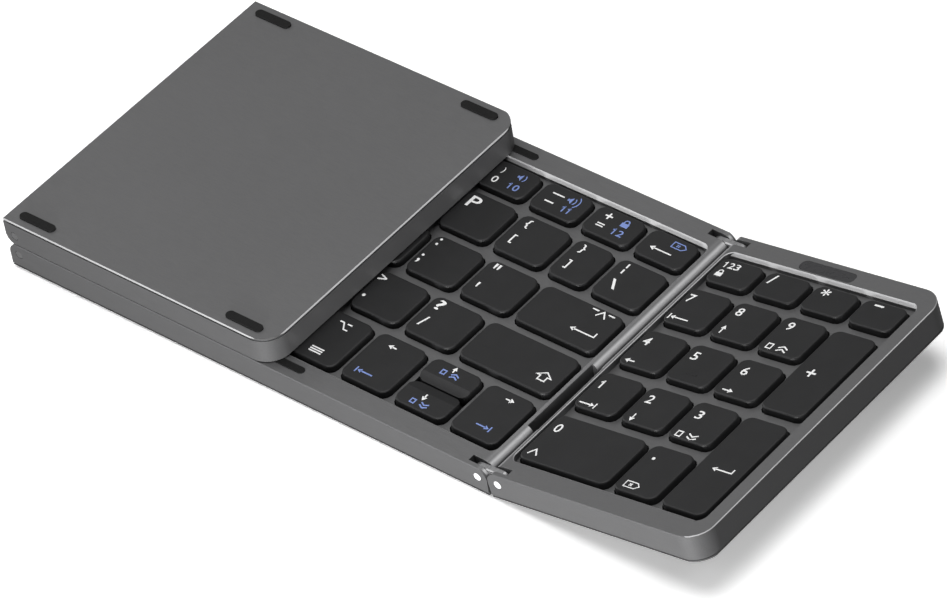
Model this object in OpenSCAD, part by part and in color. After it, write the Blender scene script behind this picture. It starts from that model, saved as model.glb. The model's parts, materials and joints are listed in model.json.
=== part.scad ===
// Folding keyboard in three panels, left panel folded down on the middle one.
// Millimetres, +Z up, key side of the middle panel up, front edge towards -Y.
// The origin is on the plane of the feet, under the middle of the whole outline
// with the right panel raised.

/* [Panels] */
// width of the left panel, hinge edge to free edge
left_w = 97; // [92:0.1:102]
// parting between the two folding panels when both are folded
wing_parting = 0.4; // [0.3:0.05:0.8]
// thickness of one panel without its feet
panel_t = 8.4; // [8.2:0.1:10]
// thickness of the bottom cover of a panel
cover_t = 0.9; // [0.8:0.05:1]
// plan radius of the two free corners of a folding panel
corner_r = 7.2; // [4:0.1:9]
// bevel round the key side of a panel
rim_bevel = 0.2; // [0.1:0.05:0.6]
// width of the front rim, outer edge to key deck
rim_front = 6.6; // [6.4:0.1:7.4]
// width of the back rim of the middle and left panels
rim_back = 7; // [6.6:0.1:8]
// width of the back rim of the right panel
pad_rim_back = 6.3; // [6.2:0.1:6.8]
// width of the rim along a free edge
rim_free = 4.3; // [3.4:0.1:4.4]
// width of the ridge between key deck and hinge edge, middle panel
hinge_wall = 2.9; // [2.6:0.1:3.2]
// width of the ridge between key deck and hinge edge, folding panels
wing_wall = 3; // [2.8:0.1:3.2]
// drop from the rim to the key deck
deck_drop = 2; // [1.6:0.05:2.2]
// thickness of the key deck
deck_t = 0.8; // [0.6:0.05:1]

/* [Hinges] */
// distance of each hinge axis from the panel edge and from the key side
pin_edge = 3.3; // [3.2:0.05:3.4]
// gap between two panels, flat or folded
fold_gap = 0.3; // [0.2:0.05:0.6]
// radius of a hinge pin
pin_r = 1.2; // [0.8:0.05:1.3]
// length of a hinge pin
pin_len = 5.4; // [4.6:0.1:5.5]
// half height and end radius of a link plate
link_r = 2.5; // [2:0.05:2.6]
// thickness of a link plate
link_t = 2; // [1.5:0.05:2.1]
// bevel round both faces of a link plate
link_bevel = 0.3; // [0.1:0.05:0.5]
// thickness of the panel wall outside a link plate
cheek_t = 1.45; // [1.2:0.05:1.6]
// length of the slot that a link plate turns in
slot_len = 6.8; // [6.4:0.1:7.4]
// angle between the right panel and the flat position
right_tilt = 10; // [0:1:30]
// start of the cable notch, from the front edge
notch_y = 19.8; // [15:0.1:25]
// length of the cable notch
notch_len = 27.1; // [24:0.1:30]
// depth of the cable notch from the hinge edge
notch_in = 1.9; // [1:0.1:2]

/* [Keys] */
// spacing of letter keys, side to side
pitch = 19; // [18.9:0.05:19.1]
// gap between letter keys, side to side
key_gap = 2.2; // [2:0.05:3]
// depth of the top of a letter key, front to back
key_d = 15.4; // [14.5:0.05:15.8]
// spacing of key rows, front to back
row_pitch = 18.8; // [18:0.05:20]
// gap between keys in the back row, side to side
fn_key_gap = 2.15; // [1.9:0.05:3]
// spacing of keys in the back row
fn_pitch = 18.15; // [18:0.05:18.2]
// depth of a key in the back row
fn_d = 10.8; // [9:0.1:14]
// depth of a key in the front row
low_d = 18.7; // [17.6:0.1:20]
// gap between the front rim and the front row of keys
front_gap = 1.95; // [1.5:0.05:3]
// gap between the back row of keys and the back rim
back_gap = 1.95; // [1.5:0.05:3]
// gap between the back row and the row in front of it
fn_gap = 3; // [2.6:0.1:4]
// gap between number pad keys, side to side
pad_gap = 2; // [1.8:0.05:2.6]
// spacing of number pad keys, side to side
pad_pitch = 16.3; // [16:0.05:18]
// step of the front edge of a number pad key behind its row
pad_step = 0.6; // [0:0.1:1]
// plan radius of a key's corners
key_r = 2.6; // [1.5:0.1:3.2]
// radius of the edge round the top of a key
key_round = 0.5; // [0.2:0.05:0.7]
// full travel of a key
travel = 1.2; // [0.8:0.1:1.2]

/* [Small parts] */
// length of a rubber foot
foot_len = 12.5; // [8:0.5:16]
// width of a rubber foot
foot_w = 2.7; // [2:0.1:3.2]
// height of a foot below the cover
foot_h = 0.5; // [0.3:0.05:1]
// length of a fold bumper
bumper_len = 12.6; // [8:0.1:14]
// width of a fold bumper
bumper_w = 2.3; // [1.8:0.1:2.6]
// length of the indicator window
window_len = 18.4; // [14:0.1:22]
// width of the indicator window
window_w = 3.8; // [3:0.1:4]

/* [Hidden] */

$fn = 48;
cut = 1;
foot_inset = 0.3;
foot_clear = 0.08;
pin_gap = 0.12;
pin_sunk = 0.05;
slot_side = 0.12;
slot_below = 0.4;
seam_in = 0.35;
seam_h = 0.5;
cover_bevel = 0.3;
recess_r = 3;
recess_slope = 0.9;
edge_bevel = 0.2;
key_low = 0.1;
key_draft = 0.15;
key_clear = 0.25;
key_top_z = panel_t - key_low;
deck_z = panel_t - deck_drop;
key_base_z = deck_z - deck_t;
plate_t = 0.7;
plate_z = key_base_z - travel - 0.2 - plate_t;
plate_clear = 0.2;
rib_t = 1;
rib_clear = 0.15;

// widths of the tops of letter keys, back row keys and number pad keys
key_w = pitch - key_gap;
fn_w = fn_pitch - fn_key_gap;
pad_w = pad_pitch - pad_gap;

// the number pad sets the width of the right panel, and the two folding panels
// closed side by side set that of the middle one
w_left = wing_wall + 0.7;
pad_end = 1.4;
right_w = w_left + 3 * pad_pitch + pad_w + pad_end + rim_free;
middle_w = left_w + wing_parting + right_w;

pin_z = panel_t - pin_edge;
pin_step = 2 * pin_edge + fold_gap;
fold_top = 2 * panel_t + fold_gap;
half_tilt = right_tilt / 2;

// x and z of a point of the right panel, in the frame of the middle panel
function right_x(x, z) = middle_w - pin_edge + pin_step * cos(half_tilt)
    + (x - pin_edge) * cos(right_tilt) - (z - pin_z) * sin(right_tilt);
function right_z(x, z) = pin_z + pin_step * sin(half_tilt)
    + (x - pin_edge) * sin(right_tilt) + (z - pin_z) * cos(right_tilt);
centre_x = right_x(right_w, cover_bevel) / 2;
slot_w = link_t + 2 * slot_side;
link_y = cheek_t + slot_side;

// rows of keys from the front rim to the back rim, which set the depth of the panels
row5_y = rim_front + front_gap;
row4_y = row5_y + low_d + row_pitch - key_d;
row3_y = row4_y + row_pitch;
row2_y = row3_y + row_pitch;
row1_y = row2_y + key_d + fn_gap;
depth = row1_y + fn_d + back_gap + rim_back;

// ends of the rows, from the walls beside the key deck
side_gap = 2.3;
m_right = middle_w - hinge_wall - 1.6;
m_left = hinge_wall + 3.5;
m_first = hinge_wall + 1.3;
end_key_min = 8;
w_right = left_w - rim_free - 0.6;

slash_w = 16;
close_w = 12.5;
return_w = 27;
shift_w = 30.7;
right_key_w = 15.6;
left_key_w = 16.3;
option_w = 21;
half_down_d = 9.55;
half_up_y = row5_y + half_down_d + 0.65;
half_up_d = row5_y + low_d - half_up_y;
up_slope = 2.75;
down_slope = 3.1;
half_drop = 0.9;

open2 = m_right - slash_w - side_gap - close_w - side_gap - key_w;
updown_x = m_right - right_key_w - side_gap - key_w;
leftkey_x = updown_x - side_gap - left_key_w;
option_x = leftkey_x - side_gap - option_w;

// a key is [x, width, y, depth] of its top, in its panel's own frame
function row1(x, w) = [x, w, row1_y, fn_d];
function row2(x, w) = [x, w, row2_y, key_d];
function row3(x, w) = [x, w, row3_y, key_d];
function row4(x, w) = [x, w, row4_y, key_d];
function row5(x, w) = [x, w, row5_y, low_d];
function m1(i) = row1(m_right - fn_w - i * fn_pitch, fn_w);
function m2(i) = row2(open2 - i * pitch, key_w);
function m3(i) = row3(m_right - return_w - (i + 1) * pitch, key_w);
function m4(i) = row4(m_right - shift_w - (i + 1) * pitch, key_w);
function pad_x(i) = w_left + i * pad_pitch;

// keys of the middle panel that the folded left panel covers: each row runs on
// to the hinge wall, and two rows close with a key as wide as what is left
m_end = m_left + end_key_min + key_gap;
last1 = floor((m1(0)[0] - m_first) / fn_pitch);
last2 = floor((m2(0)[0] - m_end) / pitch);
last3 = floor((m3(0)[0] - m_first) / pitch);
last4 = floor((m4(0)[0] - m_end) / pitch);
covered_keys = concat(
    [for (i = [4:last1]) m1(i)],
    [for (i = [2:last2]) m2(i)],
    [for (i = [2:last3]) m3(i)],
    [for (i = [2:last4]) m4(i)],
    [row2(m_left, m2(last2)[0] - key_gap - m_left)],
    [row4(m_left, m4(last4)[0] - key_gap - m_left)],
    [row5(m_left, option_x - side_gap - m_left)]
);
open_keys = concat(
    [for (i = [0:3]) m1(i)],
    [row2(m_right - slash_w, slash_w)],
    [row2(open2 + key_w + side_gap, close_w)],
    [for (i = [0:1]) m2(i)],
    [row3(m_right - return_w, return_w)],
    [for (i = [0:1]) m3(i)],
    [row4(m_right - shift_w, shift_w)],
    [for (i = [0:1]) m4(i)],
    [row5(m_right - right_key_w, right_key_w)],
    [row5(updown_x, key_w)],
    [row5(leftkey_x, left_key_w)],
    [row5(option_x, option_w)]
);
middle_keys = concat(covered_keys, open_keys);

// keys of the left panel, counted from its hinge edge; a wider key ends each row
fn_cols = floor((w_right - w_left - end_key_min) / fn_pitch);
cols = floor((w_right - w_left - end_key_min) / pitch);
fn_end_x = w_left + fn_cols * fn_pitch;
tab_x = w_left + cols * pitch;
wide_x = tab_x - pitch;
low_w = (w_right - w_left - 3 * key_gap) / 4;
left_keys = concat(
    [for (i = [0:fn_cols - 1]) row1(w_left + i * fn_pitch, fn_w)],
    [for (i = [0:cols - 1]) row2(w_left + i * pitch, key_w)],
    [for (i = [0:cols - 1]) row3(w_left + i * pitch, key_w)],
    [for (i = [0:cols - 2]) row4(w_left + i * pitch, key_w)],
    [for (i = [0:3]) row5(w_left + i * (low_w + key_gap), low_w)],
    [row1(fn_end_x, w_right - fn_end_x)],
    [row2(tab_x, w_right - tab_x)],
    [row3(tab_x, w_right - tab_x)],
    [row4(wide_x, w_right - wide_x)]
);

// keys of the number pad, counted from its hinge edge
function pad_key_at(i, y, d) = [pad_x(i), pad_w, y + pad_step, d - pad_step];
function pad1(i) = pad_key_at(i, row1_y, fn_d);
function pad2(i) = pad_key_at(i, row2_y, key_d);
function pad3(i) = pad_key_at(i, row3_y, key_d);
function pad4(i) = pad_key_at(i, row4_y, key_d);
plus_d = row_pitch + key_d;
enter_d = row4_y + key_d - row5_y;
zero_w = pad_pitch + pad_w;
pad_keys = concat(
    [for (i = [0:3]) pad1(i)],
    [for (i = [0:2]) pad2(i)],
    [for (i = [0:2]) pad3(i)],
    [for (i = [0:2]) pad4(i)],
    [pad_key_at(3, row3_y, plus_d)],
    [[pad_x(3), pad_w, row5_y, enter_d]],
    [row5(pad_x(0), zero_w)],
    [row5(pad_x(2), pad_w)]
);

// colours
grey = [0.36, 0.36, 0.37];
dark_grey = [0.3, 0.3, 0.31];
black = [0.09, 0.09, 0.1];
steel = [0.75, 0.75, 0.77];
rubber = [0.12, 0.12, 0.12];
orange = [0.72, 0.42, 0.12];
green = [0.1, 0.35, 0.2];
smoke = [0.22, 0.22, 0.23];
silver = [0.62, 0.64, 0.67];

// ---- places of the three panels ----

module at_middle() {
    translate([-centre_x, -depth / 2, foot_h]) children();
}

// folded left panel: its key side faces down on the middle panel
module at_left() {
    translate([-centre_x, -depth / 2, foot_h + fold_top]) mirror([0, 0, 1]) children();
}

// raised right panel, turned half its tilt at each of the two pins
module at_right() {
    translate([-centre_x, -depth / 2, foot_h])
        translate([middle_w - pin_edge, 0, pin_z])
        rotate([0, -half_tilt, 0])
        translate([pin_step, 0, 0])
        rotate([0, -half_tilt, 0])
        translate([-pin_edge, 0, -pin_z])
        children();
}

// ---- helpers ----

// stands a flat shape up in X and Z and runs it back along Y
module along_y(len) {
    translate([0, len, 0]) rotate([90, 0, 0]) linear_extrude(len) children();
}

// stands a flat shape up in Y and Z and runs it along X
module along_x(len) {
    rotate([90, 0, 90]) linear_extrude(len) children();
}

module mirror_back() {
    children();
    translate([0, depth, 0]) mirror([0, 1, 0]) children();
}

module mirror_side(w) {
    children();
    translate([w, 0, 0]) mirror([1, 0, 0]) children();
}

module rounded(w, d, r) {
    translate([r, 0]) square([w - 2 * r, d]);
    translate([0, r]) square([w, d - 2 * r]);
    for (x = [r, w - r], y = [r, d - r])
        translate([x, y]) circle(r);
}

module stadium(len, w) {
    translate([-len / 2, -w / 2]) rounded(len, w, w / 2 - 0.01);
}

// corner points of a rounded opening, three steps to a corner
function arc_pts(x, y, r, a) = [for (i = [0:3]) [x + r * cos(a + 30 * i), y + r * sin(a + 30 * i)]];
function opening_pts(x0, y0, x1, y1, r) = concat(
    arc_pts(x1 - r, y1 - r, r, 0),
    arc_pts(x0 + r, y1 - r, r, 90),
    arc_pts(x0 + r, y0 + r, r, 180),
    arc_pts(x1 - r, y0 + r, r, 270)
);

// plan of a folding panel: square hinge edge at x = 0, round free corners
module wing_plan(w, r, inset = 0) {
    translate([0, inset]) square([w - r - inset, depth - 2 * inset]);
    translate([0, r + inset]) square([w - inset, depth - 2 * r - 2 * inset]);
    for (y = [r + inset, depth - r - inset])
        translate([w - r - inset, y]) circle(r);
}

// ---- keys ----

// side of a cap in section, from its foot up round its top edge, e from the middle
function cap_side(e) = concat(
    [[e + key_draft, key_base_z]],
    [for (a = [0, 45, 90]) [e - key_round * (1 - cos(a)), key_top_z - key_round * (1 - sin(a))]]
);
function mirrored(pts) = [for (i = [len(pts) - 1:-1:0]) [-pts[i][0], pts[i][1]]];

module cap_section(w) {
    polygon(concat(cap_side(w / 2), mirrored(cap_side(w / 2))));
}

// a solid cap with drafted sides, round corners and a round top edge
module key_cap(k) {
    w = k[1];
    d = k[3];
    translate([k[0] + w / 2, k[2] + d / 2, 0]) {
        translate([0, key_r - d / 2, 0]) along_y(d - 2 * key_r) cap_section(w);
        translate([key_r - w / 2, 0, 0]) along_x(w - 2 * key_r) cap_section(d);
        for (x = [key_r - w / 2, w / 2 - key_r], y = [key_r - d / 2, d / 2 - key_r])
            translate([x, y, 0]) rotate_extrude()
                polygon(concat([[0, key_base_z]], cap_side(key_r), [[0, key_top_z]]));
    }
}

// takes the slope off a half key, down from its top at y0 to the drop at y1
module half_slope(k, y0, y1) {
    y2 = y1 + sign(y1 - y0) * cut;
    z2 = key_top_z - half_drop * (y2 - y0) / (y1 - y0);
    difference() {
        key_cap(k);
        translate([k[0] - cut, 0, 0]) along_x(k[1] + 2 * cut)
            polygon([[y0, key_top_z], [y2, z2], [y2, key_top_z + cut], [y0, key_top_z + cut]]);
    }
}

module key_opening(k) {
    g = key_draft + key_clear;
    translate([0, 0, key_base_z - cut])
        linear_extrude(deck_t + 2 * cut)
        polygon(opening_pts(k[0] - g, k[2] - g, k[0] + k[1] + g, k[2] + k[3] + g, key_r));
}

module middle_key(k) {
    color(black) at_middle() key_cap(k);
}

module pad_key(k) {
    color(black) at_right() key_cap(k);
}

// small raised bar that a finger finds
bump_len = 3.4;
bump_w = 0.5;
bump_h = 0.12;
bump_y = 3.4;
module home_bump(k) {
    translate([k[0] + k[1] / 2 - bump_len / 2, k[2] + bump_y, key_top_z - bump_h])
        cube([bump_len, bump_w, 2 * bump_h]);
}

// ---- frames and covers ----

// side view of a frame with a round nose on its hinge edge
module frame_side(w) {
    translate([pin_edge, cover_t]) square([w - pin_edge, panel_t - cover_t]);
    translate([0, cover_t]) square([w, pin_z - cover_t]);
    translate([pin_edge, pin_z]) circle(pin_edge);
}

module front_bevel_cut(w) {
    translate([-cut, 0, 0]) along_x(w + 2 * cut)
        polygon([
            [-cut, panel_t - rim_bevel - cut],
            [rim_bevel + cut, panel_t + cut],
            [-cut, panel_t + cut]
        ]);
}

module free_bevel_cut(w) {
    translate([0, -cut, 0]) along_y(depth + 2 * cut)
        polygon([
            [w + cut, panel_t - rim_bevel - cut],
            [w + cut, panel_t + cut],
            [w - rim_bevel - cut, panel_t + cut]
        ]);
    mirror_back()
        translate([w - corner_r, corner_r, 0]) rotate([0, 0, -90])
        rotate_extrude(angle = 90)
        polygon([
            [corner_r - rim_bevel - cut, panel_t + cut],
            [corner_r + cut, panel_t - rim_bevel - cut],
            [corner_r + cut, panel_t + cut]
        ]);
}

// slot, pin bores and cable notch at the hinge edge x = 0
module hinge_cuts() {
    mirror_back() {
        translate([-cut, cheek_t, pin_z - link_r - slot_below])
            cube([slot_len + cut, slot_w, panel_t]);
        translate([pin_edge, pin_len + pin_sunk + pin_gap, pin_z]) rotate([90, 0, 0])
            cylinder(h = pin_len + pin_sunk + pin_gap + cut, r = pin_r + pin_gap);
    }
    translate([-cut, notch_y, pin_z - pin_edge + cover_t]) cube([notch_in + cut, notch_len, panel_t]);
    translate([-cut, notch_y + flex_inset, flex_z - flex_pass])
        cube([wing_wall + 2 * cut, notch_len - 2 * flex_inset, 2 * flex_pass + flex_t]);
}

// recess section of the given width, a fine bevel at its top edges
module recess_section(w) {
    polygon([
        [0, deck_z],
        [w, deck_z],
        [w, panel_t - edge_bevel],
        [w + edge_bevel + cut, panel_t + cut],
        [-edge_bevel - cut, panel_t + cut],
        [0, panel_t - edge_bevel]
    ]);
}

// side view of the recess: its front and back walls slope in below the rims
module recess_slopes(d) {
    polygon([
        [recess_slope, deck_z - cut],
        [d - recess_slope, deck_z - cut],
        [d - recess_slope, panel_t - recess_slope],
        [d + cut, panel_t + cut],
        [-cut, panel_t + cut],
        [recess_slope, panel_t - recess_slope]
    ]);
}

module deck_recess(x0, x1, back = rim_back) {
    w = x1 - x0;
    d = depth - rim_front - back;
    r = recess_r;
    translate([x0, rim_front, 0]) intersection() {
        union() {
            translate([0, r, 0]) along_y(d - 2 * r) recess_section(w);
            translate([r, 0, 0]) along_x(w - 2 * r) recess_section(d);
            for (x = [r, w - r], y = [r, d - r])
                translate([x, y, 0]) rotate_extrude()
                    polygon([
                        [0, deck_z],
                        [r, deck_z],
                        [r, panel_t - edge_bevel],
                        [r + edge_bevel + cut, panel_t + cut],
                        [0, panel_t + cut]
                    ]);
        }
        translate([-2 * cut, 0, 0]) along_x(w + 4 * cut) recess_slopes(d);
    }
}

module cavity(x0, x1, back = rim_back) {
    translate([x0, rim_front, cover_t - cut])
        cube([x1 - x0, depth - rim_front - back, key_base_z - cover_t + cut]);
}

// thin groove that parts the cover from the frame, then the flat plate
module cover_plate_middle() {
    difference() {
        union() {
            cube([middle_w, depth, cover_t - seam_h]);
            translate([0, seam_in, 0]) cube([middle_w, depth - 2 * seam_in, cover_t]);
        }
        mirror_back() translate([-cut, 0, 0]) along_x(middle_w + 2 * cut)
            polygon([[-cut, -cut], [cover_bevel + cut, -cut], [-cut, cover_bevel + cut]]);
        mirror_side(middle_w) foot_pockets(middle_foot_x);
    }
}

module cover_plate_wing(w, feet) {
    difference() {
        union() {
            linear_extrude(cover_t - seam_h) wing_plan(w, corner_r);
            linear_extrude(cover_t) wing_plan(w, corner_r - seam_in, seam_in);
        }
        mirror_back() translate([-cut, 0, 0]) along_x(w + 2 * cut)
            polygon([[-cut, -cut], [cover_bevel + cut, -cut], [-cut, cover_bevel + cut]]);
        translate([0, -cut, 0]) along_y(depth + 2 * cut)
            polygon([[w + cut, -cut], [w + cut, cover_bevel + cut], [w - cover_bevel - cut, -cut]]);
        for (x = feet) foot_pockets(x);
    }
}

// open ring of ribs that carries the key plate
module plate_ribs(x0, x1) {
    a = x0 + rib_clear;
    b = x1 - rib_clear;
    c = rim_front + rib_clear;
    d = depth - rim_back - rib_clear;
    flex_a = notch_y - rib_t;
    flex_b = notch_y + notch_len + rib_t;
    h = plate_z - cover_t;
    translate([a, c, cover_t]) cube([b - a, rib_t, h]);
    for (x = [a, b - rib_t]) {
        translate([x, c, cover_t]) cube([rib_t, flex_a - c, h]);
        translate([x, flex_b, cover_t]) cube([rib_t, d - flex_b, h]);
    }
}

module key_plate(x0, x1) {
    translate([x0 + plate_clear, rim_front + plate_clear, plate_z])
        cube([x1 - x0 - 2 * plate_clear, depth - rim_front - rim_back - 2 * plate_clear, plate_t]);
}

// ---- rubber feet and bumpers ----

foot_y = 3.8;
hinge_foot_x = 9.8;
free_foot_x = 11.8;
middle_foot_x = 14;

module foot_pockets(x) {
    mirror_back() translate([x, foot_y, -cut])
        linear_extrude(foot_inset + cut)
        stadium(foot_len + 2 * foot_clear, foot_w + 2 * foot_clear);
}

module foot_pair(x) {
    mirror_back() translate([x, foot_y, -foot_h])
        linear_extrude(foot_h + foot_inset) stadium(foot_len, foot_w);
}

bumper_x = left_w + 1.2;
bumper_y = foot_y;
bumper_h = 0.26;
bumper_inset = 0.4;

module bumper_shape(g, h) {
    mirror_back() translate([bumper_x, bumper_y, panel_t - bumper_inset])
        linear_extrude(bumper_inset + h) stadium(bumper_len + 2 * g, bumper_w + 2 * g);
}

// ---- indicator window, board and socket ----

window_x = 35.1;
window_y = depth - 3.85;
window_t = 0.9;
window_r = 1.7;
window_clear = 0.06;
board_x = 14.7;
board_len = 46;
board_d = 15;
board_z = 1.6;
board_t = 0.8;
bay_back = 3.2;
port_x = 30;
board_y = depth - bay_back - plate_clear - board_d;
port_w = 8.9;
port_h = 3.1;
port_clear = 0.15;
port_len = 6.4;
port_wall = 0.3;
port_tongue = 0.7;
post_r = 1.5;
led_x = [window_x - 6, window_x, window_x + 6];
led_r = 0.75;
led_size = 1.6;

module window_plan(g) {
    translate([window_x - window_len / 2 - g, window_y - window_w / 2 - g])
        rounded(window_len + 2 * g, window_w + 2 * g, window_r);
}

// rounded mouth of the charging socket, seen from the back
module port_shape(g) {
    r = port_h / 2 + g - 0.01;
    translate([-port_w / 2 - g, -g]) rounded(port_w + 2 * g, port_h + 2 * g, r);
}

module port_body(g, len) {
    translate([port_x, depth - len, board_z + board_t]) along_y(len) port_shape(g);
}

// ---- cables ----

flex_t = 0.25;
flex_inset = 1.2;
flex_pass = 0.5;
flex_z = plate_z - 0.9;
flex_in = 9;

// ---- battery ----

battery_w = 84;
battery_d = 52;
battery_t = 1.9;
battery_r = 3;

// ---- sub-parts of the middle panel ----

module middle_bottom_cover() {
    color(dark_grey) at_middle() {
        cover_plate_middle();
        plate_ribs(hinge_wall, middle_w - hinge_wall);
    }
}

module middle_top_frame() {
    color(grey) at_middle() difference() {
        along_y(depth) intersection() {
            frame_side(middle_w);
            translate([middle_w, 0]) mirror([1, 0]) frame_side(middle_w);
        }
        mirror_back() front_bevel_cut(middle_w);
        mirror_side(middle_w) hinge_cuts();
        deck_recess(hinge_wall, middle_w - hinge_wall);
        cavity(hinge_wall, middle_w - hinge_wall);
        bumper_shape(foot_clear, cut);
        for (k = middle_keys) key_opening(k);
    }
}

module middle_key_plate() {
    color(steel) at_middle() key_plate(hinge_wall, middle_w - hinge_wall);
}

module battery() {
    color(silver) at_middle()
        translate([middle_w / 2 - battery_w / 2, depth / 2 - battery_d / 2, cover_t])
        linear_extrude(battery_t) rounded(battery_w, battery_d, battery_r);
}

module middle_feet() {
    color(rubber) at_middle() mirror_side(middle_w) foot_pair(middle_foot_x);
}

module fold_bumpers() {
    color(rubber) at_middle() bumper_shape(0, bumper_h);
}

// ---- sub-parts of the left panel ----

module left_bottom_cover() {
    color(dark_grey) at_left() {
        cover_plate_wing(left_w, [hinge_foot_x, left_w - free_foot_x]);
        plate_ribs(wing_wall, left_w - rim_free);
    }
}

module wing_frame(w, keys, back = rim_back) {
    difference() {
        intersection() {
            along_y(depth) frame_side(w);
            linear_extrude(panel_t + cut) wing_plan(w, corner_r);
        }
        mirror_back() front_bevel_cut(w);
        free_bevel_cut(w);
        hinge_cuts();
        deck_recess(wing_wall, w - rim_free, back);
        cavity(wing_wall, w - rim_free, back);
        for (k = keys) key_opening(k);
    }
}

module left_top_frame() {
    color(grey) at_left() wing_frame(left_w, left_keys);
}

module left_key_plate() {
    color(steel) at_left() key_plate(wing_wall, left_w - rim_free);
}

module left_feet() {
    color(rubber) at_left() {
        foot_pair(hinge_foot_x);
        foot_pair(left_w - free_foot_x);
    }
}

module left_wing_keys() {
    color(black) at_left() for (k = left_keys) key_cap(k);
}

// ---- sub-parts of the right panel ----

module right_bottom_cover() {
    color(dark_grey) at_right() {
        cover_plate_wing(right_w, [hinge_foot_x, right_w - free_foot_x]);
        plate_ribs(wing_wall, right_w - rim_free);
        for (x = [board_x + 4, board_x + board_len - 4])
            translate([x, board_y + 3, cover_t]) cylinder(h = board_z - cover_t, r = post_r);
    }
}

module right_top_frame() {
    color(grey) at_right() difference() {
        wing_frame(right_w, pad_keys, pad_rim_back);
        // bay for the board under the back rim
        translate([board_x - 1, depth - pad_rim_back - cut, cover_t - cut])
            cube([board_len + 2, pad_rim_back - bay_back + cut, key_base_z - cover_t + cut]);
        port_body(port_clear, port_len + cut);
        // pocket of the indicator window and its three light holes
        translate([0, 0, panel_t - window_t]) linear_extrude(window_t + cut) window_plan(window_clear);
        for (x = led_x)
            translate([x, window_y - led_r, key_base_z - cut]) cylinder(h = panel_t, r = led_r);
    }
}

module right_key_plate() {
    color(steel) at_right() key_plate(wing_wall, right_w - rim_free);
}

module right_feet() {
    color(rubber) at_right() {
        foot_pair(hinge_foot_x);
        foot_pair(right_w - free_foot_x);
    }
}

module indicator_window() {
    color(smoke) at_right()
        translate([0, 0, panel_t - window_t]) linear_extrude(window_t) window_plan(0);
}

// board with its soldered charging socket and three lamps
module controller_board() {
    color(green) at_right() {
        translate([board_x, board_y, board_z])
            cube([board_len, board_d, board_t]);
        difference() {
            port_body(0, port_len);
            translate([port_x, depth - port_len + port_wall, board_z + board_t])
                along_y(port_len) port_shape(-port_wall);
        }
        translate([port_x - 3.2, depth - port_len, board_z + board_t + port_h / 2 - port_tongue / 2])
            cube([6.4, port_len - 1, port_tongue]);
        for (x = led_x)
            translate([x - led_size / 2, window_y - led_r - led_size / 2, board_z + board_t])
                cube([led_size, led_size / 2, 0.6]);
    }
}

// ---- hinge links, pins and cables ----

// half the section of a link plate, e from its middle to its bevelled edge
function link_side(e) = [
    [0, e - link_bevel],
    [link_bevel, e],
    [link_t - link_bevel, e],
    [link_t, e - link_bevel]
];

// plate with round ends between two pin axes, first pin at the origin
module link_plate() {
    r = link_r;
    mirror_back() translate([0, link_y, 0]) difference() {
        union() {
            along_x(pin_step)
                polygon(concat([[0, -r + link_bevel]], link_side(r),
                    [[link_t, -r + link_bevel], [link_t - link_bevel, -r], [link_bevel, -r]]));
            for (x = [0, pin_step])
                translate([x, link_t, 0]) rotate([90, 0, 0]) rotate_extrude()
                    polygon([for (p = concat([[0, 0]], link_side(r), [[link_t, 0]])) [p[1], p[0]]]);
        }
        for (x = [0, pin_step])
            translate([x, -cut, 0]) along_y(link_t + 2 * cut) circle(pin_r);
    }
}

module link_pins() {
    for (x = [0, pin_step])
        mirror_back() translate([x, pin_len + pin_sunk, 0]) rotate([90, 0, 0])
            cylinder(h = pin_len, r = pin_r);
}

// left link stands upright while the left panel is folded
module at_left_link() {
    at_middle() translate([pin_edge, 0, pin_z]) rotate([0, -90, 0]) children();
}

module at_right_link() {
    at_middle() translate([middle_w - pin_edge, 0, pin_z]) rotate([0, -half_tilt, 0]) children();
}

module left_hinge_links() {
    color(steel) at_left_link() link_plate();
}

module left_hinge_pins() {
    color(steel) at_left_link() link_pins();
}

module right_hinge_links() {
    color(steel) at_right_link() link_plate();
}

module right_hinge_pins() {
    color(steel) at_right_link() link_pins();
}

// flat cable bent in a U through the notches of the folded hinge
flex_u = 1.1;
flex_w = notch_len - 2 * flex_inset - 1;
module left_flex_cable() {
    z0 = flex_z;
    z1 = fold_top - flex_z - flex_t;
    color(orange) at_middle()
        translate([0, notch_y + flex_inset + 0.5, 0]) along_y(flex_w) {
            translate([flex_u, z0]) square([flex_in - flex_u, flex_t]);
            translate([flex_u, z1]) square([flex_in - flex_u, flex_t]);
            translate([flex_u, z0]) square([flex_t, z1 - z0 + flex_t]);
        }
}

// flat cable that follows the raised right panel
module right_flex_cable() {
    a = flex_z;
    b = flex_z + flex_t;
    color(orange) at_middle()
        translate([0, notch_y + flex_inset + 0.5, 0]) along_y(flex_w)
        polygon([
            [middle_w - flex_in, a], [middle_w - flex_u, a],
            [right_x(flex_u, a), right_z(flex_u, a)], [right_x(flex_in, a), right_z(flex_in, a)],
            [right_x(flex_in, b), right_z(flex_in, b)], [right_x(flex_u, b), right_z(flex_u, b)],
            [middle_w - flex_u, b], [middle_w - flex_in, b]
        ]);
}

// ---- keys ----

module middle_covered_keys() {
    color(black) at_middle() for (k = covered_keys) key_cap(k);
}

module key_0() {
    middle_key(m1(3));
}

module key_minus() {
    middle_key(m1(2));
}

module key_equals() {
    middle_key(m1(1));
}

module key_backspace() {
    middle_key(m1(0));
}

module key_p() {
    middle_key(m2(1));
}

module key_open_bracket() {
    middle_key(m2(0));
}

module key_close_bracket() {
    middle_key(row2(open2 + key_w + side_gap, close_w));
}

module key_backslash() {
    middle_key(row2(m_right - slash_w, slash_w));
}

module key_semicolon() {
    middle_key(m3(1));
}

module key_quote() {
    middle_key(m3(0));
}

module key_return() {
    middle_key(row3(m_right - return_w, return_w));
}

module key_period() {
    middle_key(m4(1));
}

module key_slash() {
    middle_key(m4(0));
}

module key_shift() {
    middle_key(row4(m_right - shift_w, shift_w));
}

module key_option() {
    middle_key(row5(option_x, option_w));
}

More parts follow.
